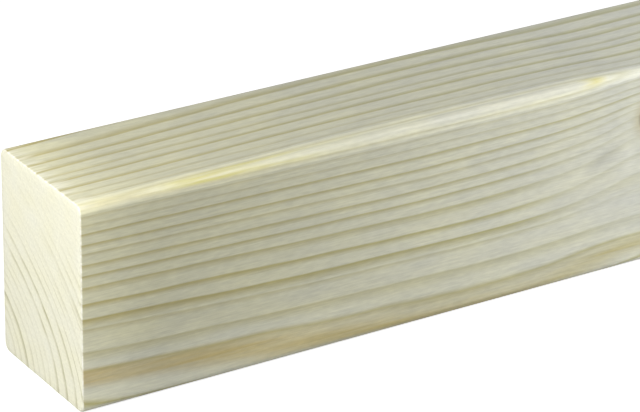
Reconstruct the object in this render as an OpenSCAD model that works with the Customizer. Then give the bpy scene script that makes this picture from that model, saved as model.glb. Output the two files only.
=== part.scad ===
// Planed softwood plank: one sawn length of framing timber with an almost
// square section, its long edges rounded by the planer and its two sawn
// ends lightly eased by hand. It stands on its narrow face, lengthwise
// along X, with the origin in the middle of the face it stands on.
// All sizes are in millimetres.

/* [Section] */
// Width across the narrow face, along Y
section_width = 54; // [34:1:100]
// Height of the wide face, along Z
section_height = 74; // [54:1:160]
// Radius that the planer leaves on the four long edges
edge_radius = 3; // [1:0.5:8]

/* [Length] */
// Length from one sawn end to the other, along X
plank_length = 2000; // [300:100:4000]
// Width of the small bevel around each sawn end
end_easing = 0.8; // [0.2:0.1:2]

/* [Hidden] */
// The easing stays narrower than the rounding that it runs around.
easing = min(end_easing, edge_radius - 0.4);
// Distance of the rounded edges' centre lines from the middle, along Y.
edge_y = section_width / 2 - edge_radius;
// Heights of the lower and upper centre lines.
edge_low_z = edge_radius;
edge_high_z = section_height - edge_radius;
$fn = 96;

// A rectangle centred on X, its length along X, with its four corners cut
// off at 45 degrees by the easing of the ends.
module eased_rectangle(width) {
    half_length = plank_length / 2;
    half_width = width / 2;
    polygon([
        [-half_length, -half_width + easing],
        [-half_length + easing, -half_width],
        [half_length - easing, -half_width],
        [half_length, -half_width + easing],
        [half_length, half_width - easing],
        [half_length - easing, half_width],
        [-half_length + easing, half_width],
        [-half_length, half_width - easing]
    ]);
}

// The core between the rounded edges, reaching the two narrow faces.
module narrow_face_core() {
    translate([0, edge_y, section_height / 2])
        rotate([90, 0, 0])
            linear_extrude(2 * edge_y)
                eased_rectangle(section_height);
}

// The core between the rounded edges, reaching the two wide faces.
module wide_face_core() {
    translate([0, 0, edge_low_z])
        linear_extrude(edge_high_z - edge_low_z)
            eased_rectangle(section_width);
}

// One rounded long edge as a full rod, turned about its centre line, with
// the easing as a short cone at each end.
module rounded_edge(y, z) {
    translate([-plank_length / 2, y, z])
        rotate([0, 90, 0])
            rotate_extrude()
                polygon([
                    [0, 0],
                    [edge_radius - easing, 0],
                    [edge_radius, easing],
                    [edge_radius, plank_length - easing],
                    [edge_radius - easing, plank_length],
                    [0, plank_length]
                ]);
}

// The whole plank, one solid piece of timber.
module plank() {
    color([0.82, 0.80, 0.66])
        union() {
            narrow_face_core();
            wide_face_core();
            rounded_edge(-edge_y, edge_low_z);
            rounded_edge(edge_y, edge_low_z);
            rounded_edge(-edge_y, edge_high_z);
            rounded_edge(edge_y, edge_high_z);
        }
}

plank();
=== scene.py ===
# %% [markdown]
# # A planed spruce plank
# The object is one length of framing timber, sawn from a log and run through a planer. It
# stands on its narrow face. Everything that the eye likes about it comes from two things: a
# plain form with soft edges, and growth rings that run right through the solid wood.
# This lesson therefore makes a careful block first, and then one material that knows where
# in the tree each point of the block grew.

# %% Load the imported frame
import math

import bmesh
import bpy
from mathutils import Euler, Matrix, Vector, noise


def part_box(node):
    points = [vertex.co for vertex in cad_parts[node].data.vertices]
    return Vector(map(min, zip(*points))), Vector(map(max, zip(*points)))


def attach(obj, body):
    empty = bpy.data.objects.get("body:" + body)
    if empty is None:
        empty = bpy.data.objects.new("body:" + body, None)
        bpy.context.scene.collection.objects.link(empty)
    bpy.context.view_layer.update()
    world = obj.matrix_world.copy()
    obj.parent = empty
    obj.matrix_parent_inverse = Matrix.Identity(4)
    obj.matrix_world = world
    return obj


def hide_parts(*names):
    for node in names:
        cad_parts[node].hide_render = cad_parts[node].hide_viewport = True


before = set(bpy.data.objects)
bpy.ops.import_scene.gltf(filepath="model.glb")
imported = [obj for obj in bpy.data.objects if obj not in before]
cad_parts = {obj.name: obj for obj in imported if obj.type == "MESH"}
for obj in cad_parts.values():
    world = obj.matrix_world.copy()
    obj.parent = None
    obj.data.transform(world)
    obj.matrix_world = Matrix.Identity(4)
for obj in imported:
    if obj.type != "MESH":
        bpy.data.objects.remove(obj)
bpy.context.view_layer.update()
low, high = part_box("plank")
print("CAD plank from", tuple(low), "to", tuple(high))

# %% [markdown]
# ## The block
# The sawmill cuts a square-edged length, and the planer then rounds its four long edges.
# A rounded block could be lofted from an outline, but a cube with bevelled edges is the same
# thing in the order in which the timber is really made: cut first, round afterwards.
# The cube is scaled to the CAD solid's own box, so the two can't drift apart.

# %% Cut the block to size
MM = 0.001
EDGE_RADIUS = 3 * MM
size = high - low
middle = (low + high) / 2
timber = bmesh.new()
bmesh.ops.create_cube(timber, size=1)
bmesh.ops.scale(timber, vec=size, verts=timber.verts)
bmesh.ops.translate(timber, vec=middle, verts=timber.verts)
long_edges = [e for e in timber.edges if abs(e.verts[0].co.x - e.verts[1].co.x) > size.x / 2]
bmesh.ops.bevel(
    timber,
    geom=long_edges,
    offset=EDGE_RADIUS,
    segments=8,
    profile=0.5,
    affect="EDGES",
    material=-1,
)
print("rounded", len(long_edges), "long edges, now", len(timber.faces), "faces")

# %% [markdown]
# ## Slices
# A flat face needs no extra points for its own sake. Here they serve two ends: the eased
# ends want to waver a little, and a map for other programs wants a seam under the plank.
# Bisecting with planes keeps every face flat and every row straight, which subdividing the
# many-sided end faces wouldn't.

# %% Slice the block
SLICE = 25 * MM
CROSS_SLICE = 3 * MM


def slice_along(axis, start, stop, step):
    """Cut the timber with evenly spaced planes across one axis."""
    count = round((stop - start) / step)
    normal = Vector((axis == "x", axis == "y", axis == "z"))
    for i in range(count + 1):
        place = normal * (start + (stop - start) * i / count)
        everything = timber.verts[:] + timber.edges[:] + timber.faces[:]
        bmesh.ops.bisect_plane(timber, geom=everything, dist=1e-7, plane_co=place, plane_no=normal)
    return count + 1


flat_y = size.y / 2 - EDGE_RADIUS
planes = slice_along("y", -flat_y, flat_y, CROSS_SLICE)
planes += slice_along("z", low.z + EDGE_RADIUS, high.z - EDGE_RADIUS, CROSS_SLICE)
planes += slice_along("x", low.x + SLICE, high.x - SLICE, SLICE)
print("sliced with", planes, "planes, now", len(timber.faces), "faces")

# %% [markdown]
# ## Eased ends
# The saw leaves sharp, splintery arrises at both ends, and somebody takes them off with a
# few strokes of sandpaper. That is a bevel of less than a millimetre. A hand never holds it
# quite even, so a smooth noise moves its two rims by a tenth or two of a millimetre, always
# inwards, because wood is only taken away.

# %% Ease the ends
END_EASING = 0.8 * MM
WAVER = 0.3 * MM
WAVES_IN_A_METRE = 140
rim = []
for edge in timber.edges:
    at_end = all(abs(abs(v.co.x) - high.x) < 1e-6 for v in edge.verts)
    outside = any(abs(face.normal.x) < 0.5 for face in edge.link_faces)
    if at_end and outside:
        rim.append(edge)
bmesh.ops.bevel(
    timber,
    geom=rim,
    offset=END_EASING,
    segments=3,
    profile=0.5,
    affect="EDGES",
    material=-1,
)
moved = 0
worn_depth = 1.5 * END_EASING
for vert in timber.verts:
    depth = high.x - abs(vert.co.x)
    if 0 < depth < worn_depth:
        worn = (noise.noise(vert.co * WAVES_IN_A_METRE) + 1) / 2
        centre = Vector((vert.co.x, 0, middle.z))
        inward = (centre - vert.co).normalized()
        vert.co += inward * worn * WAVER * (1 - depth / worn_depth)
        moved += 1
print("eased", len(rim), "rim edges and moved", moved, "points")

# %% [markdown]
# ## A map for other programs
# Other programs can't read Blender's node materials, so the grain is later painted on an
# image. Left alone, Blender would squeeze the ends of so long a thing into slivers. This map
# unrolls the four long faces like a label from a tin, with the seam under the plank, and
# keeps two roomy patches for the sawn ends.

# %% Unroll the faces
flat_z = size.z - 2 * EDGE_RADIUS
quarter = EDGE_RADIUS * math.pi / 2
half_outline = 2 * flat_y + flat_z + 2 * quarter
ROLL_TOP = 0.74
PATCH_FOOT = 0.76
PATCH_SCALE = 0.23 / size.z
NEAR_PATCH = 0.12
FAR_PATCH = 0.37


def unrolled(point):
    """Distance from the middle of the top face to a point, measured round the section."""
    side = abs(point.y)
    over_y = side - flat_y
    over_z = point.z - (high.z - EDGE_RADIUS)
    if over_z >= 0:
        return side if over_y <= 0 else flat_y + EDGE_RADIUS * math.atan2(over_y, over_z)
    if point.z > low.z + EDGE_RADIUS:
        return flat_y + quarter - over_z
    if over_y > 0:
        below = low.z + EDGE_RADIUS - point.z
        return flat_y + quarter + flat_z + EDGE_RADIUS * math.atan2(below, over_y)
    return half_outline - side


grain_map = timber.loops.layers.uv.new("OFBake")
for face in timber.faces:
    centre = face.calc_center_median()
    for loop in face.loops:
        point = loop.vert.co
        if abs(face.normal.x) > 0.9:
            patch = NEAR_PATCH if centre.x < 0 else FAR_PATCH
            u = patch + point.y * PATCH_SCALE
            v = PATCH_FOOT + point.z * PATCH_SCALE
        else:
            turn = math.copysign(unrolled(point), centre.y) / half_outline
            u = 0.005 + 0.99 * (point.x - low.x) / size.x
            v = ROLL_TOP * (0.5 + 0.498 * turn)
        loop[grain_map].uv = (u, v)
print("unrolled", len(timber.faces), "faces round an outline of", round(2 * half_outline / MM), "mm")

# %% [markdown]
# ## From bmesh to object
# The finished bmesh becomes one mesh object at the origin. Faces are smooth shaded so that
# the roundings look turned, and each flat keeps its own straight normals because the
# edges between flat and round are nearly level there.

# %% Make the plank object
mesh = bpy.data.meshes.new("spruce_plank")
bmesh.ops.recalc_face_normals(timber, faces=timber.faces)
timber.to_mesh(mesh)
timber.free()
for polygon in mesh.polygons:
    polygon.use_smooth = True
plank = bpy.data.objects.new("spruce_plank", mesh)
bpy.context.scene.collection.objects.link(plank)
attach(plank, "root")
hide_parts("plank")
print("plank has", len(mesh.polygons), "faces")

# %% [markdown]
# ## Helpers for the material
# Colours are easiest to read as the hex values of a paint program, but light adds up in
# linear numbers, so one function changes hex into linear. A second one adds a node, sets it
# up, links it and hands back an output, so that each line below reads as one step.

# %% Colour and node helpers
def linear(hex_colour):
    """Turn an sRGB hex colour into linear red, green, blue and alpha."""
    channels = [int(hex_colour[i : i + 2], 16) / 255 for i in (1, 3, 5)]
    curved = [c / 12.92 if c <= 0.04045 else ((c + 0.055) / 1.055) ** 2.4 for c in channels]
    return (*curved, 1.0)


def add_node(tree, kind, inputs=None, output=0, **settings):
    """Add a node with its settings, fill or link its inputs, and return an output, if it has one."""
    node = tree.nodes.new(kind)
    for name, value in settings.items():
        setattr(node, name, value)
    for name, value in (inputs or {}).items():
        if isinstance(value, bpy.types.NodeSocket):
            tree.links.new(value, node.inputs[name])
        else:
            node.inputs[name].default_value = value
    return None if output is None else node.outputs[output]


print("a mid grey of #808080 is", round(linear("#808080")[0], 3), "in linear light")

# %% [markdown]
# ## Where in the tree
# A plank is cut out of a trunk, so its lines aren't painted on: every line is a growth ring
# that comes to the surface. If the material knows how far a point is from the pith, the rings
# agree on the top, the front and the sawn end without any extra work.
# The pith of this tree lay behind the plank and just below it. The tree leaned, and a leaning
# tree grows thicker on one side, so its rings are lopsided. Averaging the plain distance from
# the pith with the distance forwards pushes each ring out on that side.

# %% Start the material and find the pith
PITH_BEHIND = 56.5
PITH_BELOW = 2.0
STEEPNESS = 2.27
spruce = bpy.data.materials.new("planed spruce, end sawn")
spruce.use_nodes = True
tree = spruce.node_tree
tree.nodes.clear()
place = add_node(tree, "ShaderNodeTexCoord", output="Object")
normal = add_node(tree, "ShaderNodeTexCoord", output="Normal")
in_mm = add_node(
    tree,
    "ShaderNodeVectorMath",
    {0: place, 1: (1000, 1000, 1000), 2: (-1000 * low.x, 0, 0)},
    operation="MULTIPLY_ADD",
)
along = add_node(tree, "ShaderNodeSeparateXYZ", {0: in_mm}, output="X")
from_pith = add_node(
    tree,
    "ShaderNodeVectorMath",
    {0: in_mm, 1: (0, -1, STEEPNESS), 2: (0, PITH_BEHIND, PITH_BELOW * STEEPNESS)},
    operation="MULTIPLY_ADD",
)
forwards = add_node(tree, "ShaderNodeSeparateXYZ", {0: from_pith}, output="Y")
distance = add_node(
    tree, "ShaderNodeVectorMath", {0: from_pith}, output="Value", operation="LENGTH"
)
both = add_node(tree, "ShaderNodeMath", {0: distance, 1: forwards}, operation="ADD")
radius = add_node(tree, "ShaderNodeMath", {0: both, 1: 0.5}, operation="MULTIPLY")
print("rings run round a pith", PITH_BEHIND, "mm behind and", PITH_BELOW, "mm below")
plank.data.materials.append(spruce)

# %% [markdown]
# ## Branches
# A knot is a branch that the growing trunk swallowed. It is a narrow cone that starts at the
# pith, so each knot needs only the place where it leaves the wood. Around it the rings bulge
# outwards. Whorls of branches sit a few hand widths apart along a spruce.
# A Mapping node of the Texture kind moves and turns the coordinates so that the branch lies
# along Z. The distance from that axis then gives the bulge, the dark heart and its rim.

# %% Lay out the branches
pith = Vector((0, PITH_BEHIND, -PITH_BELOW))
# Each branch: along the plank, across and up where it leaves the wood, its radius, its bulge.
BRANCHES = [
    (222.5, -27, 56, 3.5, 5.0),
    (640, -6, 74, 6.0, 4.0),
    (668, -27, 26, 4.5, 3.5),
    (1060, 27, 60, 6.5, 4.5),
    (1090, -27, 44, 7.0, 5.0),
    (1480, -27, 66, 5.0, 4.0),
    (1530, 14, 74, 6.5, 4.5),
    (1840, -27, 36, 6.0, 4.5),
]
BULGE_REACH = 19
bulges = []
hearts = []
for branch_x, branch_y, branch_z, branch_radius, bulge in BRANCHES:
    leaves = Vector((branch_x, branch_y, branch_z))
    outward = Vector((0, branch_y, branch_z)) - pith
    tilted = outward.normalized() + Vector((0.12, 0, 0))
    local = add_node(
        tree,
        "ShaderNodeMapping",
        {"Vector": in_mm, "Location": leaves, "Rotation": tilted.to_track_quat("Z", "Y").to_euler()},
        vector_type="TEXTURE",
    )
    off_axis = add_node(
        tree,
        "ShaderNodeVectorMath",
        {0: local, 1: (1 / BULGE_REACH, 1 / BULGE_REACH, 0)},
        operation="MULTIPLY",
    )
    steps_away = add_node(
        tree, "ShaderNodeVectorMath", {0: off_axis}, output="Value", operation="LENGTH"
    )
    fading = add_node(
        tree, "ShaderNodeMath", {0: steps_away, 1: steps_away, 2: 1}, operation="MULTIPLY_ADD"
    )
    bulges.append(add_node(tree, "ShaderNodeMath", {0: bulge, 1: fading}, operation="DIVIDE"))
    in_radii = {0: steps_away, 1: BULGE_REACH / branch_radius}
    hearts.append(add_node(tree, "ShaderNodeMath", in_radii, operation="MULTIPLY"))
bulged = bulges[0]
for other in bulges[1:]:
    bulged = add_node(tree, "ShaderNodeMath", {0: bulged, 1: other}, operation="ADD")
heart = hearts[0]
for other in hearts[1:]:
    heart = add_node(tree, "ShaderNodeMath", {0: heart, 1: other}, operation="MINIMUM")
print("laid out", len(BRANCHES), "branches")

# %% [markdown]
# ## Grain that wanders
# No trunk is a perfect cone, so the rings drift as they run along the plank. A slow sine
# wave does that. The middle rings drift about twice as far as the outer and the inner ones, so
# two ranges set the share. The bulges at the knots are scaled by the same share. Everything is
# added to the distance from the pith.

# %% Bend the rings
WANDER = 2.4
WANDER_LENGTH = 900
phase = add_node(
    tree, "ShaderNodeMath", {0: along, 1: 2 * math.pi / WANDER_LENGTH}, operation="MULTIPLY"
)
swing = add_node(tree, "ShaderNodeMath", {0: phase}, operation="SINE")
drift = add_node(tree, "ShaderNodeMath", {0: swing, 1: WANDER}, operation="MULTIPLY")
net_drift = add_node(tree, "ShaderNodeMath", {0: drift, 1: bulged}, operation="SUBTRACT")
inner_share = add_node(
    tree,
    "ShaderNodeMapRange",
    {"Value": radius, "From Min": 88, "From Max": 98, "To Min": 1.7, "To Max": 2.6},
)
outer_share = add_node(
    tree,
    "ShaderNodeMapRange",
    {"Value": radius, "From Min": 99, "From Max": 128, "To Min": 2.6, "To Max": 1},
)
share = add_node(tree, "ShaderNodeMath", {0: inner_share, 1: outer_share}, operation="MINIMUM")
bent = add_node(
    tree, "ShaderNodeMath", {0: net_drift, 1: share, 2: radius}, operation="MULTIPLY_ADD"
)
print("rings wander by", WANDER, "mm over", WANDER_LENGTH, "mm")

# %% [markdown]
# ## Lift and ripple
# Under the first knot the innermost rings sweep up towards it, so one soft ellipse lifts them.
# A Mapping node shrinks that ellipse to a ball of radius one, and the distance from its middle
# tells how much lift is left. Last, a little noise takes the ruler out of the lines.

# %% Lift and ripple the rings
LIFT = 3
LIFT_PLACE = (240, -27, 0)
LIFT_HALF = (70, 60, 16)
RIPPLE = 1.4
RIPPLE_LENGTH = 60
RIPPLE_WIDTH = 12
in_lift = add_node(
    tree,
    "ShaderNodeMapping",
    {"Vector": in_mm, "Location": LIFT_PLACE, "Scale": LIFT_HALF},
    vector_type="TEXTURE",
)
from_lift = add_node(tree, "ShaderNodeVectorMath", {0: in_lift}, output="Value", operation="LENGTH")
lift_left = add_node(
    tree,
    "ShaderNodeMapRange",
    {"Value": from_lift, "To Min": LIFT, "To Max": 0},
    interpolation_type="SMOOTHSTEP",
)
swept = add_node(tree, "ShaderNodeMath", {0: bent, 1: lift_left}, operation="SUBTRACT")
ripple_place = add_node(
    tree,
    "ShaderNodeVectorMath",
    {0: in_mm, 1: (1 / RIPPLE_LENGTH, 1 / RIPPLE_WIDTH, 1 / RIPPLE_WIDTH)},
    operation="MULTIPLY",
)
ripple = add_node(
    tree, "ShaderNodeTexNoise", {"Vector": ripple_place, "Scale": 1, "Detail": 2}, output="Fac"
)
centred = add_node(tree, "ShaderNodeMath", {0: ripple, 1: 0.5}, operation="SUBTRACT")
ring_place = add_node(
    tree, "ShaderNodeMath", {0: centred, 1: RIPPLE, 2: swept}, operation="MULTIPLY_ADD"
)
print("rings are lifted by", LIFT, "mm and ripple by", RIPPLE, "mm")

# %% [markdown]
# ## Growth rings
# Each year the tree makes pale, wide-celled wood in spring and narrow brown wood in summer.
# Seen from the pith outwards, the brown fades in slowly and stops dead where the next spring
# begins. Good and bad years differ, so the rings are listed one by one, from
# the pith outwards: where the year ends, how brown its summer was, and how wide that brown is.
# Colour ramps draw them. One ramp holds only 32 stops, so the rings are shared out among a few.

# %% Draw the years
YEARS = [
    (24, 0.3, 2.0),
    (29.5, 0.4, 2.0),
    (34, 0.3, 2.0),
    (38.5, 0.4, 2.2),
    (42.5, 0.3, 2.0),
    (47, 0.8, 2.6),
    (51.5, 0.4, 1.8),
    (55, 0.3, 1.6),
    (59, 0.4, 1.8),
    (62.5, 0.3, 1.6),
    (68, 0.9, 2.2),
    (74, 1.0, 2.2),
    (80.5, 0.7, 2.0),
    (84.4, 0.7, 0.8),
    (88.5, 0.5, 1.0),
    (92, 0.4, 2.4),
    (97.5, 0.35, 1.6),
    (100.5, 0.7, 2.9),
    (105, 0.7, 2.0),
    (110, 0.55, 2.4),
    (114, 0.6, 1.8),
    (117.5, 0.55, 1.9),
    (121, 0.4, 1.5),
    (124, 0.6, 1.6),
    (128, 0.6, 1.6),
    (131, 0.3, 1.3),
    (134, 0.3, 1.3),
    (136.5, 0.3, 1.3),
    (140, 0.4, 1.3),
]
YEARS_IN_A_RAMP = 10
CUT = 0.4
summer = None
for first in range(0, len(YEARS), YEARS_IN_A_RAMP):
    group = YEARS[first : first + YEARS_IN_A_RAMP]
    start = group[0][0] - group[0][2] - 0.5
    stop = group[-1][0] + 0.5
    place_in_ramp = add_node(
        tree,
        "ShaderNodeMapRange",
        {"Value": ring_place, "From Min": start, "From Max": stop},
    )
    drawn = add_node(tree, "ShaderNodeValToRGB", {"Fac": place_in_ramp})
    ramp = drawn.node.color_ramp
    ramp.elements[0].color = (0, 0, 0, 1)
    ramp.elements[1].color = (0, 0, 0, 1)
    for year_end, strength, width in group:
        stops = [(year_end - width, 0), (year_end - CUT, strength), (year_end, 0)]
        for spot, level in stops:
            stop_point = ramp.elements.new((spot - start) / (stop - start))
            stop_point.color = (level, level, level, 1)
    if summer is None:
        summer = drawn
    else:
        summer = add_node(tree, "ShaderNodeMath", {0: summer, 1: drawn}, operation="ADD")
print("drew", len(YEARS), "years")

# %% [markdown]
# ## Blurred rings
# Close to a knot the rings are cut at such a flat angle that they run together and fade. The
# distance from the branch says where. Under the first knot the fibres are so disturbed that
# the rings are nearly lost over a few centimetres, and another soft ellipse fades them there.

# %% Blur the rings at the knots
BLUR_PLACE = (228, -27, 38)
BLUR_HALF = (70, 30, 30)
in_blur = add_node(
    tree,
    "ShaderNodeMapping",
    {"Vector": in_mm, "Location": BLUR_PLACE, "Scale": BLUR_HALF},
    vector_type="TEXTURE",
)
from_blur = add_node(tree, "ShaderNodeVectorMath", {0: in_blur}, output="Value", operation="LENGTH")
left_in_blur = add_node(
    tree,
    "ShaderNodeMapRange",
    {"Value": from_blur, "From Min": 0.45, "From Max": 1, "To Min": 0.3, "To Max": 1},
    interpolation_type="SMOOTHSTEP",
)
left_at_knot = add_node(
    tree,
    "ShaderNodeMapRange",
    {"Value": heart, "From Min": 1, "From Max": 3.5, "To Min": 0.4, "To Max": 1},
)
ring_left = add_node(
    tree, "ShaderNodeMath", {0: left_in_blur, 1: left_at_knot}, operation="MULTIPLY"
)
summer_wood = add_node(tree, "ShaderNodeMath", {0: summer, 1: ring_left}, operation="MULTIPLY")
print("rings are lost over", 2 * BLUR_HALF[0], "mm under the first knot")

# %% [markdown]
# ## Long faces
# Planed spruce is cream where spring wood shows and a light straw brown in the summer wood.
# In the stack, light and air reach the end of a plank first, so the wood is yellower there
# and whiter further in. The inner years stayed white as well. A range along the plank and one
# across the rings mix two creams and two browns.

# %% Colour the planed wood
YELLOWED_DEPTH = 230
depth_share = add_node(
    tree, "ShaderNodeMapRange", {"Value": along, "From Min": 0, "From Max": YELLOWED_DEPTH}
)
inner_years = add_node(
    tree,
    "ShaderNodeMapRange",
    {"Value": ring_place, "From Min": 88, "From Max": 96, "To Min": 0.6, "To Max": 0},
)
freshness = add_node(
    tree, "ShaderNodeMath", {0: depth_share, 1: inner_years}, operation="MAXIMUM"
)
spring_colour = add_node(
    tree,
    "ShaderNodeMix",
    {0: freshness, 6: linear("#D6D4B6"), 7: linear("#D6D7CA")},
    output=2,
    data_type="RGBA",
)
summer_colour = add_node(
    tree,
    "ShaderNodeMix",
    {0: freshness, 6: linear("#A69430"), 7: linear("#9E9A42")},
    output=2,
    data_type="RGBA",
)
planed_colour = add_node(
    tree,
    "ShaderNodeMix",
    {0: summer_wood, 6: spring_colour, 7: summer_colour},
    output=2,
    data_type="RGBA",
)
print("wood is yellowed over the first", YELLOWED_DEPTH, "mm")

# %% [markdown]
# ## Pale years and painted light
# One of the last years has hardly any summer wood. It lies just under the rounded front edge
# and comes out on it near the end and near the first knot. Two ranges of the ring distance find
# that year, and the wood is scaled up a little in it. That is partly its own paler wood and partly
# a painted highlight, so the edge looks bright there even where it mirrors no lamp. A third range
# finds the innermost years and scales them up as painted light, which lifts the low front where
# the lamps leave it darker.

# %% Lighten the pale years and paint light on the edge and the low front
PALE_START = 134.3
PALE_END = 137.4
# Partly paler wood, partly a painted highlight on the rounded front edge.
PALE_AND_HIGHLIGHT_GAIN = 0.2
# Painted light: lifts the innermost years, low on the front, where the lamps leave it darker.
LOW_FRONT_LIGHT_GAIN = 0.14
pale_in = add_node(
    tree,
    "ShaderNodeMapRange",
    {"Value": ring_place, "From Min": PALE_START, "From Max": PALE_START + 0.6},
    interpolation_type="SMOOTHSTEP",
)
pale_highlight_out = add_node(
    tree,
    "ShaderNodeMapRange",
    {
        "Value": ring_place,
        "From Min": PALE_END - 0.8,
        "From Max": PALE_END,
        "To Min": PALE_AND_HIGHLIGHT_GAIN,
        "To Max": 0,
    },
    interpolation_type="SMOOTHSTEP",
)
painted_low_light = add_node(
    tree,
    "ShaderNodeMapRange",
    {"Value": ring_place, "From Min": 84, "From Max": 86, "To Min": 1 + LOW_FRONT_LIGHT_GAIN, "To Max": 1},
)
pale_and_painted_light_gain = add_node(
    tree, "ShaderNodeMath", {0: pale_in, 1: pale_highlight_out, 2: painted_low_light}, operation="MULTIPLY_ADD"
)
pale_and_painted_light_colour = add_node(
    tree, "ShaderNodeVectorMath", {0: planed_colour, "Scale": pale_and_painted_light_gain}, operation="SCALE"
)
print("the pale year is", round(PALE_END - PALE_START, 1), "mm wide")

# %% [markdown]
# ## Compression wood
# A leaning tree props itself up with dense, reddish wood on its lower side. In this plank one
# year of it shows as a broad brown band low on the front. Two ranges of the ring distance,
# one that fades in and one that cuts off, multiply into the band. The cut is crisp and the
# brown is strong near the end. Further in both soften, and towards the first knot the band
# grows wider, so the limits of those two ranges are themselves ranges along the plank.

# %% Find the brown band
BAND_START = 85.0
BAND_END = 88.7
CRISP_LENGTH = 110
STRONG_LENGTH = 70
band_foot = add_node(
    tree,
    "ShaderNodeMapRange",
    {
        "Value": along,
        "From Min": CRISP_LENGTH,
        "From Max": 2 * CRISP_LENGTH,
        "To Min": BAND_START,
        "To Max": BAND_START - 1.4,
    },
)
band_in = add_node(
    tree,
    "ShaderNodeMapRange",
    {"Value": ring_place, "From Min": band_foot, "From Max": BAND_START + 1.6},
    interpolation_type="SMOOTHSTEP",
)
band_edge = add_node(
    tree,
    "ShaderNodeMapRange",
    {
        "Value": along,
        "From Max": CRISP_LENGTH,
        "To Min": BAND_END - 0.8,
        "To Max": BAND_END - 2.2,
    },
)
band_strength = add_node(
    tree,
    "ShaderNodeMapRange",
    {"Value": along, "From Max": STRONG_LENGTH, "To Min": 0.64, "To Max": 0.55},
)
band_out = add_node(
    tree,
    "ShaderNodeMapRange",
    {
        "Value": ring_place,
        "From Min": band_edge,
        "From Max": BAND_END,
        "To Min": band_strength,
        "To Max": 0,
    },
)
whole_band = add_node(tree, "ShaderNodeMath", {0: band_in, 1: band_out}, operation="MULTIPLY")
print("brown band is", round(BAND_END - BAND_START, 1), "mm of growth wide")

# %% [markdown]
# ## Streaks in the band
# Dense wood grows in spurts, so the band isn't one even brown. A noise stretched along X makes
# it streaky. Then the band's brown is mixed over the wood. It is redder near the end, where
# the wood has yellowed, and more olive further in.

# %% Colour the brown band
STREAK_LENGTH = 70
STREAK_WIDTH = 2
streak_place = add_node(
    tree,
    "ShaderNodeVectorMath",
    {0: in_mm, 1: (1 / STREAK_LENGTH, 1 / STREAK_WIDTH, 1 / STREAK_WIDTH)},
    operation="MULTIPLY",
)
streaks = add_node(
    tree, "ShaderNodeTexNoise", {"Vector": streak_place, "Scale": 1, "Detail": 2}, output="Fac"
)
streak_share = add_node(
    tree,
    "ShaderNodeMapRange",
    {"Value": streaks, "From Min": 0.35, "From Max": 0.65, "To Min": 0.7, "To Max": 1.15},
)
band = add_node(tree, "ShaderNodeMath", {0: whole_band, 1: streak_share}, operation="MULTIPLY")
band_colour = add_node(
    tree,
    "ShaderNodeMix",
    {0: depth_share, 6: linear("#BC9E34"), 7: linear("#AEA03E")},
    output=2,
    data_type="RGBA",
)
banded_colour = add_node(
    tree,
    "ShaderNodeMix",
    {0: band, 6: pale_and_painted_light_colour, 7: band_colour},
    output=2,
    data_type="RGBA",
)
print("streaks are", STREAK_LENGTH, "by", STREAK_WIDTH, "mm")

# %% [markdown]
# ## Blotches
# Wood is never one even cream. Sap, moisture and the planer leave soft patches, some greyer
# and some warmer, longer along the plank than across it. A slow noise mixes two faint tints,
# and the wood's colour is multiplied by the result.

# %% Add the blotches
BLOTCH_LENGTH = 20
BLOTCH_WIDTH = 8
blotch_place = add_node(
    tree,
    "ShaderNodeVectorMath",
    {0: in_mm, 1: (1 / BLOTCH_LENGTH, 1 / BLOTCH_WIDTH, 1 / BLOTCH_WIDTH)},
    operation="MULTIPLY",
)
blotches = add_node(
    tree, "ShaderNodeTexNoise", {"Vector": blotch_place, "Scale": 1, "Detail": 3}, output="Fac"
)
blotch_spread = add_node(
    tree, "ShaderNodeMapRange", {"Value": blotches, "From Min": 0.3, "From Max": 0.7}
)
blotch_tint = add_node(
    tree,
    "ShaderNodeMix",
    {0: blotch_spread, 6: (0.95, 0.95, 0.98, 1), 7: (1.05, 1.04, 1.0, 1)},
    output=2,
    data_type="RGBA",
)
blotched = add_node(
    tree,
    "ShaderNodeMix",
    {0: 1, 6: banded_colour, 7: blotch_tint},
    output=2,
    data_type="RGBA",
    blend_type="MULTIPLY",
)
print("blotches are", BLOTCH_LENGTH, "by", BLOTCH_WIDTH, "mm")

# %% [markdown]
# ## Fibres
# Close up, planed spruce is full of fine lines, because its fibres are centimetres long and
# a few hundredths of a millimetre wide. A noise stretched along X draws them. They are drawn
# ten times too coarse here, or they would vanish between two pixels.

# %% Draw the fibres
FIBRE_LENGTH = 30
FIBRE_WIDTH = 0.5
fibre_place = add_node(
    tree,
    "ShaderNodeVectorMath",
    {0: in_mm, 1: (1 / FIBRE_LENGTH, 1 / FIBRE_WIDTH, 1 / FIBRE_WIDTH)},
    operation="MULTIPLY",
)
fibres = add_node(
    tree,
    "ShaderNodeTexNoise",
    {"Vector": fibre_place, "Scale": 1, "Detail": 3, "Roughness": 0.6},
    output="Fac",
)
fibre_shade = add_node(
    tree,
    "ShaderNodeMapRange",
    {"Value": fibres, "From Min": 0.25, "From Max": 0.75, "To Min": 0.92, "To Max": 1.08},
)
print("fibres are", FIBRE_LENGTH, "by", FIBRE_WIDTH, "mm")

# %% [markdown]
# ## Flecks
# The planer's cutters nick a fibre here and there, which leaves short flecks, some paler and
# some darker. A second, shorter noise draws them. Both shades multiply the wood's colour.

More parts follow.
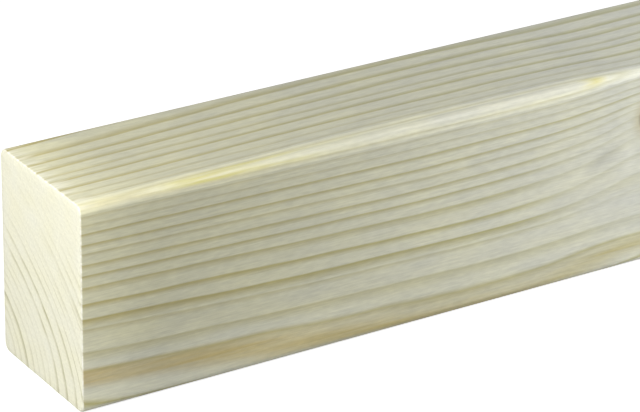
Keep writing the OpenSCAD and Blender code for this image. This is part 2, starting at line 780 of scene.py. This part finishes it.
# %% Draw the flecks
FLECK_LENGTH = 4
FLECK_WIDTH = 0.8
fleck_place = add_node(
    tree,
    "ShaderNodeVectorMath",
    {0: in_mm, 1: (1 / FLECK_LENGTH, 1 / FLECK_WIDTH, 1 / FLECK_WIDTH)},
    operation="MULTIPLY",
)
flecks = add_node(
    tree, "ShaderNodeTexNoise", {"Vector": fleck_place, "Scale": 1, "Detail": 2}, output="Fac"
)
fleck_shade = add_node(
    tree,
    "ShaderNodeMapRange",
    {"Value": flecks, "From Min": 0.25, "From Max": 0.75, "To Min": 0.93, "To Max": 1.07},
)
fine_shade = add_node(
    tree, "ShaderNodeMath", {0: fibre_shade, 1: fleck_shade}, operation="MULTIPLY"
)
fibred = add_node(
    tree, "ShaderNodeVectorMath", {0: blotched, "Scale": fine_shade}, operation="SCALE"
)
print("flecks are", FLECK_LENGTH, "by", FLECK_WIDTH, "mm")

# %% [markdown]
# ## Painted shade at the curl, and painted light low on the front
# Fibres have to get round a knot, so beside it they dive into the wood and come up again.
# Where they dive away from the light the planed face looks darker, and where they come up it
# looks paler. Two soft ellipses next to the first knot paint that shade and that sheen into the
# colour. They are made in the same way as the blur. A third, long one is painted light. It
# lightens the brown band low on the front near the end, where the lamps leave it darker.

# %% Paint the shade of the curl and the light low on the front
# Each patch: along, up, half its length, half its height, its slant in degrees, its shade.
SHADE_AND_LIGHT_PATCHES = [
    (204, 44, 11, 5, 30, 0.86),
    (215, 42, 5, 8, 0, 1.1),
    (78, 8, 56, 15, 0, 1.12),
]
PATCH_DEPTH = 12
patch_painted_colour = fibred
# Each patch paints shade or light into the colour.
for patch_x, patch_z, half_long, half_high, slant, shade in SHADE_AND_LIGHT_PATCHES:
    in_patch = add_node(
        tree,
        "ShaderNodeMapping",
        {
            "Vector": in_mm,
            "Location": (patch_x, low.y / MM, patch_z),
            "Rotation": (0, math.radians(-slant), 0),
            "Scale": (half_long, PATCH_DEPTH, half_high),
        },
        vector_type="TEXTURE",
    )
    patch_distance = add_node(
        tree, "ShaderNodeVectorMath", {0: in_patch}, output="Value", operation="LENGTH"
    )
    painted_patch_shade = add_node(
        tree,
        "ShaderNodeMapRange",
        {"Value": patch_distance, "To Min": shade, "To Max": 1},
        interpolation_type="SMOOTHSTEP",
    )
    patch_painted_colour = add_node(
        tree, "ShaderNodeVectorMath", {0: patch_painted_colour, "Scale": painted_patch_shade}, operation="SCALE"
    )
print("shaded", len(SHADE_AND_LIGHT_PATCHES), "patches of curl")

# %% [markdown]
# ## Resin
# One ring just grazes the rounded edge, dips under it and comes out again. Resin has gathered
# in it, so it shows as thin yellow flames rather than as a brown line. It needs no new shape:
# a narrow band of the same ring distance is enough. Two pockets along the plank say where the
# resin is, and a stretched noise breaks it into runs.

# %% Stain the resin ring
RESIN_RING = 136.6
RESIN_WIDTH = 0.8
RUN_LENGTH = 24
RUN_WIDTH = 1.2
# Each pocket: where along the plank it begins, where it is fullest, where it ends.
RESIN_POCKETS = [(24, 44, 120), (190, 200, 206)]
off_resin = add_node(
    tree, "ShaderNodeMath", {0: ring_place, 1: RESIN_RING}, operation="SUBTRACT"
)
from_resin = add_node(tree, "ShaderNodeMath", {0: off_resin}, operation="ABSOLUTE")
resin_band = add_node(
    tree,
    "ShaderNodeMapRange",
    {"Value": from_resin, "From Min": 0, "From Max": RESIN_WIDTH, "To Min": 1, "To Max": 0},
    interpolation_type="SMOOTHSTEP",
)
pockets = 0.1
for begins, fullest, ends in RESIN_POCKETS:
    filling = add_node(
        tree,
        "ShaderNodeMapRange",
        {"Value": along, "From Min": begins, "From Max": fullest},
        interpolation_type="SMOOTHSTEP",
    )
    emptying = add_node(
        tree,
        "ShaderNodeMapRange",
        {"Value": along, "From Min": fullest, "From Max": ends, "To Min": 0.9, "To Max": 0},
    )
    pocket = add_node(tree, "ShaderNodeMath", {0: filling, 1: emptying}, operation="MULTIPLY")
    pockets = add_node(tree, "ShaderNodeMath", {0: pockets, 1: pocket}, operation="MAXIMUM")
whole_resin = add_node(tree, "ShaderNodeMath", {0: resin_band, 1: pockets}, operation="MULTIPLY")
runs_place = add_node(
    tree,
    "ShaderNodeVectorMath",
    {0: in_mm, 1: (1 / RUN_LENGTH, 1 / RUN_WIDTH, 1 / RUN_WIDTH)},
    operation="MULTIPLY",
)
runs = add_node(tree, "ShaderNodeTexNoise", {"Vector": runs_place, "Scale": 1}, output="Fac")
run_share = add_node(
    tree,
    "ShaderNodeMapRange",
    {"Value": runs, "From Min": 0.4, "From Max": 0.55, "To Min": 0.45, "To Max": 1.05},
)
resin = add_node(tree, "ShaderNodeMath", {0: whole_resin, 1: run_share}, operation="MULTIPLY")
resined = add_node(
    tree,
    "ShaderNodeMix",
    {0: resin, 6: patch_painted_colour, 7: linear("#D6CE7E")},
    output=2,
    data_type="RGBA",
)
print("resin lies in the ring at", RESIN_RING, "mm")

# %% [markdown]
# ## Knots
# Inside a knot the branch shows its own narrow rings, olive brown, with a dark rim of bark
# where the branch was already dead. A ramp over the distance from the branch's axis, measured
# in knot radii, gives heart and rim. A second range stains the wood around it.

# %% Colour the knots
stain = add_node(
    tree,
    "ShaderNodeMapRange",
    {"Value": heart, "From Min": 1.0, "From Max": 2.4, "To Min": 0.45, "To Max": 0},
    interpolation_type="SMOOTHSTEP",
)
stained = add_node(
    tree,
    "ShaderNodeMix",
    {0: stain, 6: resined, 7: linear("#B5A775")},
    output=2,
    data_type="RGBA",
)
knot_mask = add_node(
    tree,
    "ShaderNodeMapRange",
    {"Value": heart, "From Min": 0.75, "From Max": 1.4, "To Min": 1, "To Max": 0},
    interpolation_type="SMOOTHSTEP",
)
knot_colour = add_node(tree, "ShaderNodeValToRGB", {"Fac": heart})
knot_ramp = knot_colour.node.color_ramp
knot_ramp.elements[0].color = linear("#7E6A42")
knot_ramp.elements[1].color = linear("#6E6440")
for spot, brown in [(0.2, "#93794C"), (0.45, "#836D43"), (0.6, "#957C50"), (0.85, "#786A44")]:
    knot_ramp.elements.new(spot).color = linear(brown)
knotted = add_node(
    tree,
    "ShaderNodeMix",
    {0: knot_mask, 6: stained, 7: knot_colour},
    output=2,
    data_type="RGBA",
)
print("knots are coloured by", len(knot_ramp.elements), "stops")

# %% [markdown]
# ## Torn fibres
# The saw came out of the wood at the top and lifted a few fibres there. They catch the light
# as short pale streaks in the last few millimetres. A noise stretched along X is cut off so high
# that only its peaks are left. One range keeps them near the two ends, another on the top.

# %% Lift fibres at the ends
TORN_REACH = 8
TORN_LENGTH = 12
TORN_WIDTH = 1.6
half_length = size.x / MM / 2
from_middle = add_node(tree, "ShaderNodeMath", {0: along, 1: half_length}, operation="SUBTRACT")
to_either_end = add_node(tree, "ShaderNodeMath", {0: from_middle}, operation="ABSOLUTE")
near_cut = add_node(
    tree,
    "ShaderNodeMapRange",
    {"Value": to_either_end, "From Min": half_length - TORN_REACH, "From Max": half_length},
)
torn_place = add_node(
    tree,
    "ShaderNodeVectorMath",
    {0: in_mm, 1: (1 / TORN_LENGTH, 1 / TORN_WIDTH, 1 / TORN_WIDTH)},
    operation="MULTIPLY",
)
torn_noise = add_node(tree, "ShaderNodeTexNoise", {"Vector": torn_place, "Scale": 1}, output="Fac")
peaks = add_node(
    tree, "ShaderNodeMapRange", {"Value": torn_noise, "From Min": 0.44, "From Max": 0.62}
)
upwards = add_node(tree, "ShaderNodeSeparateXYZ", {0: normal}, output="Z")
on_top = add_node(
    tree, "ShaderNodeMapRange", {"Value": upwards, "From Min": 0.3, "From Max": 0.8, "To Max": 0.85}
)
top_cut = add_node(tree, "ShaderNodeMath", {0: near_cut, 1: on_top}, operation="MULTIPLY")
torn = add_node(tree, "ShaderNodeMath", {0: peaks, 1: top_cut}, operation="MULTIPLY")
frayed = add_node(
    tree,
    "ShaderNodeMix",
    {0: torn, 6: knotted, 7: linear("#EEECD8")},
    output=2,
    data_type="RGBA",
)
print("fibres are torn for", TORN_REACH, "mm from each end")

# %% [markdown]
# ## The sawn end
# The saw cuts across the fibres, so the end is paler and its rings look washed out. The fine
# dust in the upper part hides them nearly. Height and a patchy noise set how much of a ring is
# left.

# %% Colour the sawn end
DUST_PATCH = 11
up_and_back = add_node(
    tree, "ShaderNodeVectorMath", {0: in_mm, 1: (0, 0.1, 1)}, output="Value", operation="DOT_PRODUCT"
)
clear_low = add_node(
    tree,
    "ShaderNodeMapRange",
    {"Value": up_and_back, "From Min": 30, "From Max": 56, "To Min": 1.05, "To Max": 0.2},
)
patches = add_node(
    tree, "ShaderNodeTexNoise", {"Vector": in_mm, "Scale": 1 / DUST_PATCH, "Detail": 1}, output="Fac"
)
patch_share = add_node(
    tree,
    "ShaderNodeMapRange",
    {"Value": patches, "From Min": 0.38, "From Max": 0.6, "To Min": 0.4, "To Max": 1},
)
clearness = add_node(tree, "ShaderNodeMath", {0: clear_low, 1: patch_share}, operation="MULTIPLY")
sawn_summer = add_node(tree, "ShaderNodeMath", {0: summer_wood, 1: clearness}, operation="MULTIPLY")
sawn_spring = add_node(
    tree,
    "ShaderNodeMix",
    {0: patches, 6: linear("#DEDDCE"), 7: linear("#E1DEC2")},
    output=2,
    data_type="RGBA",
)
sawn_colour = add_node(
    tree,
    "ShaderNodeMix",
    {0: sawn_summer, 6: sawn_spring, 7: linear("#A8A37C")},
    output=2,
    data_type="RGBA",
)
print("dust lies in patches of", DUST_PATCH, "mm")

# %% [markdown]
# ## Marks of the saw
# Each tooth of the saw leaves a fine slanting line, so a noise is squeezed into lines and turned
# a little. A finer, even noise gives the specks of open wood cells.

# %% Mark the sawn end
TOOTH_MARK = 0.7
TOOTH_LENGTH = 25
TOOTH_SLANT = math.radians(20)
SPECK = 0.9
tooth_place = add_node(
    tree,
    "ShaderNodeMapping",
    {
        "Vector": in_mm,
        "Rotation": (TOOTH_SLANT, 0, 0),
        "Scale": (0, 1 / TOOTH_LENGTH, 1 / TOOTH_MARK),
    },
)
teeth = add_node(
    tree, "ShaderNodeTexNoise", {"Vector": tooth_place, "Scale": 1, "Detail": 2}, output="Fac"
)
tooth_shade = add_node(
    tree,
    "ShaderNodeMapRange",
    {"Value": teeth, "From Min": 0.3, "From Max": 0.7, "To Min": 0.975, "To Max": 1.025},
)
specks = add_node(
    tree, "ShaderNodeTexNoise", {"Vector": in_mm, "Scale": 1 / SPECK, "Detail": 2}, output="Fac"
)
speck_shade = add_node(
    tree,
    "ShaderNodeMapRange",
    {"Value": specks, "From Min": 0.25, "From Max": 0.75, "To Min": 0.93, "To Max": 1.05},
)
cut_shade = add_node(
    tree, "ShaderNodeMath", {0: tooth_shade, 1: speck_shade}, operation="MULTIPLY"
)
sawn_marked = add_node(
    tree, "ShaderNodeVectorMath", {0: sawn_colour, "Scale": cut_shade}, operation="SCALE"
)
print("tooth marks are", TOOTH_MARK, "mm apart")

# %% [markdown]
# ## A scratch
# One tooth stood out a little and left a pale, upright scratch. It is one more soft ellipse,
# very thin, high and only on the near end.

# %% Scratch the sawn end
SCRATCH_PLACE = (0, -12, 56)
SCRATCH_HALF = (50, 0.5, 11)
SCRATCH_SLANT = math.radians(10)
in_scratch = add_node(
    tree,
    "ShaderNodeMapping",
    {
        "Vector": in_mm,
        "Location": SCRATCH_PLACE,
        "Rotation": (SCRATCH_SLANT, 0, 0),
        "Scale": SCRATCH_HALF,
    },
    vector_type="TEXTURE",
)
scratch_distance = add_node(
    tree, "ShaderNodeVectorMath", {0: in_scratch}, output="Value", operation="LENGTH"
)
scratch_shade = add_node(
    tree, "ShaderNodeMapRange", {"Value": scratch_distance, "To Min": 1.06, "To Max": 1}
)
scratched = add_node(
    tree, "ShaderNodeVectorMath", {0: sawn_marked, "Scale": scratch_shade}, operation="SCALE"
)
print("scratch is", 2 * SCRATCH_HALF[2], "mm high")

# %% [markdown]
# ## Ends and faces together
# The surface's own direction tells an end from a long face, and blends the two over the eased
# edge. A sharp switch would leave a jagged line there. The sandpaper leaves a pale fuzz of cut
# fibres on that edge, and the pale line there is also a painted highlight where the arris
# catches the light. A share times what is left of it is largest halfway, so it finds the edge,
# and the noise of the torn fibres makes the pale line ragged.

# %% Blend the two cuts
facing = add_node(tree, "ShaderNodeSeparateXYZ", {0: normal}, output="X")
towards_end = add_node(tree, "ShaderNodeMath", {0: facing}, operation="ABSOLUTE")
sawn = add_node(
    tree,
    "ShaderNodeMapRange",
    {"Value": towards_end, "From Min": 0.3, "From Max": 0.9},
    interpolation_type="SMOOTHSTEP",
)
either_cut = add_node(
    tree,
    "ShaderNodeMix",
    {0: sawn, 6: frayed, 7: scratched},
    output=2,
    data_type="RGBA",
)
planed = add_node(tree, "ShaderNodeMath", {0: 1, 1: sawn}, operation="SUBTRACT")
halfway = add_node(tree, "ShaderNodeMath", {0: sawn, 1: planed}, operation="MULTIPLY")
ragged = add_node(tree, "ShaderNodeMapRange", {"Value": peaks, "To Min": 0.25, "To Max": 0.9})
on_edge = add_node(tree, "ShaderNodeMath", {0: halfway, 1: 4}, operation="MULTIPLY")
# Pale fuzz on the eased edge, partly a painted highlight.
fuzz_and_painted_highlight = add_node(tree, "ShaderNodeMath", {0: on_edge, 1: ragged}, operation="MULTIPLY")
wood_colour = add_node(
    tree,
    "ShaderNodeMix",
    {0: fuzz_and_painted_highlight, 6: either_cut, 7: linear("#F6F4EA")},
    output=2,
    data_type="RGBA",
)
print("mixed the planed and the sawn colours")

# %% [markdown]
# ## Surface
# A planed face is matt with a slight sheen. The harder summer wood stands a hair proud of the
# spring wood, so the rings and the fibres drive the bump. The cutters press the rounded edges
# smooth, which is why they shine. A rounding is where the surface looks neither straight up
# nor straight to the side, so Y times Z of its direction finds it. The sawn end is rougher.

# %% Finish the shader
height = add_node(
    tree, "ShaderNodeMath", {0: summer_wood, 1: 0.5, 2: fibres}, operation="MULTIPLY_ADD"
)
relief = add_node(
    tree,
    "ShaderNodeBump",
    {"Height": height, "Strength": 0.25, "Distance": 0.2 * MM},
)
sideways = add_node(tree, "ShaderNodeSeparateXYZ", {0: normal}, output="Y")
slanting = add_node(tree, "ShaderNodeMath", {0: sideways, 1: upwards}, operation="MULTIPLY")
how_slanting = add_node(tree, "ShaderNodeMath", {0: slanting}, operation="ABSOLUTE")
planed_roughness = add_node(
    tree,
    "ShaderNodeMapRange",
    {"Value": how_slanting, "From Max": 0.35, "To Min": 0.43, "To Max": 0.34},
)
roughness = add_node(
    tree, "ShaderNodeMath", {0: sawn, 1: 0.25, 2: planed_roughness}, operation="MULTIPLY_ADD"
)
finish = add_node(
    tree,
    "ShaderNodeBsdfPrincipled",
    {"Base Color": wood_colour, "Roughness": roughness, "Normal": relief, "IOR": 1.5},
)
add_node(tree, "ShaderNodeOutputMaterial", {"Surface": finish}, output=None)
print("material has", len(tree.nodes), "nodes")

# %% [markdown]
# ## The floor
# The plank stands on a plain white table. A real white floor throws a lot of light back up
# at the faces beside it, so it bounces only what a grey one would. For the camera alone a
# glow is added that lifts the lit floor to white. The plank's own shadow still falls on it,
# because part of what the camera sees is ordinary lit floor.

# %% Lay the floor
FLOOR_GLOW = 0.86
floor_mesh = bpy.data.meshes.new("table")
table = bmesh.new()
bmesh.ops.create_grid(table, x_segments=1, y_segments=1, size=60)
table.to_mesh(floor_mesh)
table.free()
floor = bpy.data.objects.new("table", floor_mesh)
bpy.context.scene.collection.objects.link(floor)
white = bpy.data.materials.new("white table top")
white.use_nodes = True
white_tree = white.node_tree
white_tree.nodes.clear()
seen = add_node(white_tree, "ShaderNodeLightPath", output="Is Camera Ray")
glow_level = add_node(white_tree, "ShaderNodeMath", {0: seen, 1: FLOOR_GLOW}, operation="MULTIPLY")
lit_floor = add_node(white_tree, "ShaderNodeBsdfDiffuse", {"Color": linear("#B4B4B2")})
glow = add_node(white_tree, "ShaderNodeEmission", {"Strength": glow_level})
table_shader = add_node(white_tree, "ShaderNodeAddShader", {0: lit_floor, 1: glow})
add_node(white_tree, "ShaderNodeOutputMaterial", {"Surface": table_shader}, output=None)
floor_mesh.materials.append(white)
print("floor is", round(floor.dimensions.x), "m wide")

# %% [markdown]
# ## Light
# The sawn end is the brightest face, then the top, then the long front. So the main light
# comes from the left, and a lamp close by makes the near end brighter still. One soft box
# lights the top and a long one beside the plank lights the front.
# A plank is long, and the lamps at the near end would leave the rest of it dark, so one more
# box hangs over the far part. A light from behind keeps the hidden faces readable. It comes up
# from under the floor, so it can't change the faces that the camera sees, and it is left out
# of reflections so that it can't glare from any side.

# %% Set the lights
FULL_LEVEL = math.pi


def add_light(name, kind, comes_from, towards, energy, **settings):
    """Add a light at a place, turned towards another place, and hide the lamp itself."""
    light = bpy.data.lights.new(name, kind)
    light.energy = energy
    for setting, value in settings.items():
        setattr(light, setting, value)
    lamp = bpy.data.objects.new(name, light)
    lamp.visible_camera = False
    lamp.location = comes_from
    lamp.rotation_euler = (lamp.location - Vector(towards)).to_track_quat("Z", "Y").to_euler()
    bpy.context.scene.collection.objects.link(lamp)
    return lamp


MIDDLE = (0, 0, 0)
add_light("window", "SUN", (-1.0, -0.15, 0.1), MIDDLE, 0.57 * FULL_LEVEL, angle=0.5)
add_light("box above", "SUN", (0.48, -0.43, 0.77), MIDDLE, 0.21 * FULL_LEVEL, angle=0.35)
behind = add_light("light behind", "SUN", (0.7, 0.72, -0.3), MIDDLE, 0.89 * FULL_LEVEL)
behind.data.use_shadow = False
behind.visible_glossy = False
end_top = (low.x, 0, high.z)
add_light("near lamp", "AREA", (low.x - 0.25, -0.115, 0.35), end_top, 1.62, shape="DISK", size=0.2)
box_middle = low.x + 1.127
add_light(
    "front box",
    "AREA",
    (box_middle, -0.35, 0.14),
    (box_middle, 0, 0.05),
    0.735,
    shape="RECTANGLE",
    size=2.0,
    size_y=0.12,
    spread=math.radians(60),
)
far_middle = low.x + 1.15
add_light(
    "far box",
    "AREA",
    (far_middle, 0, 0.6),
    (far_middle, 0, 0),
    1.2,
    shape="RECTANGLE",
    size=1.74,
    size_y=0.3,
    spread=math.radians(60),
)

# %% [markdown]
# ## Surroundings
# The world gives a little light from all sides, and the camera sees it as white. The view
# transform Standard leaves colours as they are written.

# %% Set the world
world = bpy.data.worlds.new("studio")
bpy.context.scene.world = world
world.use_nodes = True
sky = world.node_tree
sky.nodes.clear()
looked_at = add_node(sky, "ShaderNodeLightPath", output="Is Camera Ray")
sky_level = add_node(
    sky, "ShaderNodeMapRange", {"Value": looked_at, "To Min": 0.1, "To Max": 1.0}
)
backdrop = add_node(sky, "ShaderNodeBackground", {"Color": (1, 1, 1, 1), "Strength": sky_level})
add_node(sky, "ShaderNodeOutputWorld", {"Surface": backdrop}, output=None)
bpy.context.scene.view_settings.view_transform = "Standard"
print("world set for", world.name)

# %% [markdown]
# ## Camera
# The photograph was taken from some way off with a long lens: the long edges of the plank
# hardly run together. The camera was found by fitting the edges of a 54 by 74 mm section to
# the photograph's, so its numbers are measured and not chosen. It looks down at the near end,
# half from the front, and leans over by less than a degree.

# %% Place the camera
FOCAL_PIXELS = 3824
IMAGE_WIDTH = 640
TURN = 32.26
DOWN = 25.23
LEAN = 0.82
AIM_DISTANCE = 1236.5 * MM
AIM_RIGHT = -90.2 * MM
AIM_UP = -24.1 * MM
lens = bpy.data.cameras.new("photo camera")
lens.sensor_width = 36
lens.lens = FOCAL_PIXELS * lens.sensor_width / IMAGE_WIDTH
camera = bpy.data.objects.new("photo camera", lens)
bpy.context.scene.collection.objects.link(camera)
upright = Euler((math.radians(90 - DOWN), 0, math.radians(-TURN))).to_matrix()
leaning = upright @ Matrix.Rotation(math.radians(LEAN), 3, "Z")
near_end = Vector((low.x, 0, middle.z))
eye = near_end - leaning @ Vector((AIM_RIGHT, AIM_UP, -AIM_DISTANCE))
camera.matrix_world = Matrix.Translation(eye) @ leaning.to_4x4()
bpy.context.scene.camera = camera
print("camera at", tuple(round(c / MM) for c in eye), "mm with a", round(lens.lens), "mm lens")
